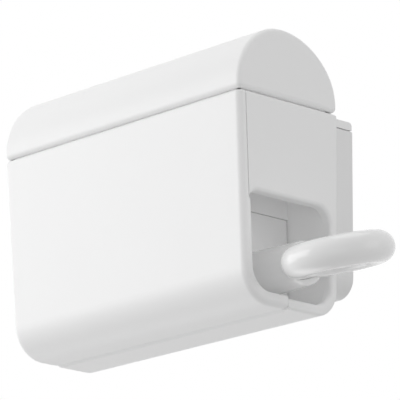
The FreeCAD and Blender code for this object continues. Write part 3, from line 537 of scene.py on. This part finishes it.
class CLOTHESLINE_OT_lay_line(bpy.types.Operator):
    """Make the line from the drum to the crimp as one round tube, in place of the model's lead"""

    bl_idname = "clothesline.lay_line"
    bl_label = "Lay line"

    def execute(self, context):
        line = context.scene.line
        coat = coated_line("pvc_coated_braid", line.line_colour[:], line.braid_pitch)
        low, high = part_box("line_lead")
        middle = (low + high) / 2
        lead = tube_along_x("drawn_line", low.x, high.x, middle.y, middle.z,
                            line.line_diameter / 2, line.line_rings, line.line_sides)
        lead.data.materials.append(coat)
        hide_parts("line_lead")
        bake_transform(lead)
        dress(WOUND_NODES, coat)
        return {"FINISHED"}


def seen_directly(tree):
    """1 for rays to the eye, straight, by a mirror-like reflection or through glass, and else 0."""
    path = add(tree, "ShaderNodeLightPath")
    either = add(tree, "ShaderNodeMath", {"operation": "MAXIMUM"},
                 {0: path.outputs["Is Camera Ray"], 1: path.outputs["Is Glossy Ray"]})
    return add(tree, "ShaderNodeMath", {"operation": "MAXIMUM"},
               {0: either.outputs[0], 1: path.outputs["Is Transmission Ray"]}).outputs[0]


def make_floor(studio):
    """Plain pale floor, far below the hanging case. It throws less light up than it shows."""
    low = -studio.floor_drop
    corners = [
        (-FLOOR_HALF, -FLOOR_HALF, low),
        (FLOOR_HALF, -FLOOR_HALF, low),
        (FLOOR_HALF, FLOOR_HALF, low),
        (-FLOOR_HALF, FLOOR_HALF, low),
    ]
    mesh = bpy.data.meshes.new("floor")
    mesh.from_pydata(corners, [], [(0, 1, 2, 3)])
    floor = bpy.data.objects.new("floor", mesh)
    bpy.context.scene.collection.objects.link(floor)
    finish, tree = new_finish("painted_floor")
    direct = seen_directly(tree)
    paint = add(tree, "ShaderNodeBsdfDiffuse", {},
                {"Color": mixed(tree, linear(FLOOR_THROWN), linear(FLOOR_SHOWN), direct)})
    glow = add(tree, "ShaderNodeEmission", {}, {"Strength": between(tree, 0.0, studio.floor_glow, direct)})
    surface = add(tree, "ShaderNodeAddShader", {}, {0: paint.outputs["BSDF"], 1: glow.outputs["Emission"]})
    show(tree, surface.outputs["Shader"])
    mesh.materials.append(finish)


def make_surroundings(studio):
    """White where they are seen, and dimmer as light on the object."""
    world = bpy.data.worlds.new("studio")
    world.use_nodes = True
    tree = world.node_tree
    tree.nodes.clear()
    sky = add(tree, "ShaderNodeBackground", {"Color": (1.0, 1.0, 1.0, 1.0)},
              {"Strength": between(tree, studio.sky_strength, 1.0, seen_directly(tree))})
    add(tree, "ShaderNodeOutputWorld", {}, {"Surface": sky.outputs["Background"]})
    bpy.context.scene.world = world


def make_lamp(name, way, strength, studio):
    """Large soft lamp that shines on the object from one side."""
    lamp = bpy.data.lights.new(name, "AREA")
    lamp.shape = "SQUARE"
    lamp.size = studio.lamp_size
    lamp.energy = strength
    stand = bpy.data.objects.new(name, lamp)
    stand.location = (cad_low + cad_high) / 2 + way.normalized() * studio.lamp_distance
    stand.rotation_mode = "QUATERNION"
    stand.rotation_quaternion = way.to_track_quat("Z", "Y")
    stand.visible_camera = False
    bpy.context.scene.collection.objects.link(stand)


def make_lamps(studio):
    """Key and side lamps for the front, one for the top, and others for the foot, the end and the pocket."""
    make_lamp("key_lamp", KEY_WAY, studio.key_strength, studio)
    make_lamp("side_lamp", SIDE_WAY, studio.side_strength, studio)
    make_lamp("top_lamp", TOP_WAY, studio.top_strength, studio)
    make_lamp("under_lamp", UNDER_WAY, studio.under_strength, studio)
    make_lamp("back_lamp", BACK_WAY, studio.back_strength, studio)
    make_lamp("fill_lamp", FILL_WAY, studio.fill_strength, studio)


def make_camera(studio):
    """Camera at the photograph's viewing angle."""
    azimuth = studio.azimuth
    elevation = studio.elevation
    back = Vector((math.sin(azimuth) * math.cos(elevation),
                   -math.cos(azimuth) * math.cos(elevation),
                   math.sin(elevation)))
    level_right = Vector((math.cos(azimuth), math.sin(azimuth), 0.0))
    level_up = back.cross(level_right)
    right = math.cos(studio.roll) * level_right + math.sin(studio.roll) * level_up
    up = math.cos(studio.roll) * level_up - math.sin(studio.roll) * level_right
    turn = Matrix((right, up, back)).transposed()
    lens = bpy.data.cameras.new("camera")
    lens.sensor_width = SENSOR_WIDTH
    lens.lens = studio.lens
    lens.clip_end = SIGHT
    camera = bpy.data.objects.new("camera", lens)
    camera.rotation_mode = "QUATERNION"
    camera.rotation_quaternion = turn.to_quaternion()
    camera.location = Vector(studio.camera_aim) + back * studio.camera_distance
    bpy.context.scene.collection.objects.link(camera)
    bpy.context.scene.camera = camera


class CLOTHESLINE_OT_set_stage(bpy.types.Operator):
    """Set the floor, the lamps, the surroundings and the camera"""

    bl_idname = "clothesline.set_stage"
    bl_label = "Set stage"

    def execute(self, context):
        studio = context.scene.studio
        make_floor(studio)
        make_surroundings(studio)
        make_lamps(studio)
        make_camera(studio)
        context.scene.view_settings.view_transform = "Standard"
        # White walls pass most light on, so the pocket stays too dark with the usual four passes.
        context.scene.cycles.diffuse_bounces = studio.light_passes
        return {"FINISHED"}


GROUPS = {
    "casing": CasingSettings,
    "fittings": FittingSettings,
    "line": LineSettings,
    "studio": StudioSettings,
}
STEPS = ("finish_casing", "finish_handle", "finish_reel", "finish_metal", "lay_line", "set_stage")


class CLOTHESLINE_PT_panel(bpy.types.Panel):
    """Settings and steps of the clothes line"""

    bl_idname = "CLOTHESLINE_PT_panel"
    bl_label = "Clothes line"
    bl_space_type = "VIEW_3D"
    bl_region_type = "UI"
    bl_category = "Clothes line"

    def draw(self, context):
        for name, group in GROUPS.items():
            box = self.layout.box()
            for setting in group.__annotations__:
                box.prop(getattr(context.scene, name), setting)
        for step in STEPS:
            self.layout.operator("clothesline." + step)


CLASSES = (
    *GROUPS.values(),
    CLOTHESLINE_OT_finish_casing,
    CLOTHESLINE_OT_finish_handle,
    CLOTHESLINE_OT_finish_reel,
    CLOTHESLINE_OT_finish_metal,
    CLOTHESLINE_OT_lay_line,
    CLOTHESLINE_OT_set_stage,
    CLOTHESLINE_PT_panel,
)


def register():
    """Add the settings, the steps and the panel to Blender."""
    for item in CLASSES:
        bpy.utils.register_class(item)
    for name, group in GROUPS.items():
        setattr(bpy.types.Scene, name, PointerProperty(type=group))


def unregister():
    """Take the settings, the steps and the panel out of Blender."""
    for name in GROUPS:
        delattr(bpy.types.Scene, name)
    for item in reversed(CLASSES):
        bpy.utils.unregister_class(item)


def main():
    """Run every step."""
    register()
    for step in STEPS:
        getattr(bpy.ops.clothesline, step)()


if __name__ == "__main__":
    main()
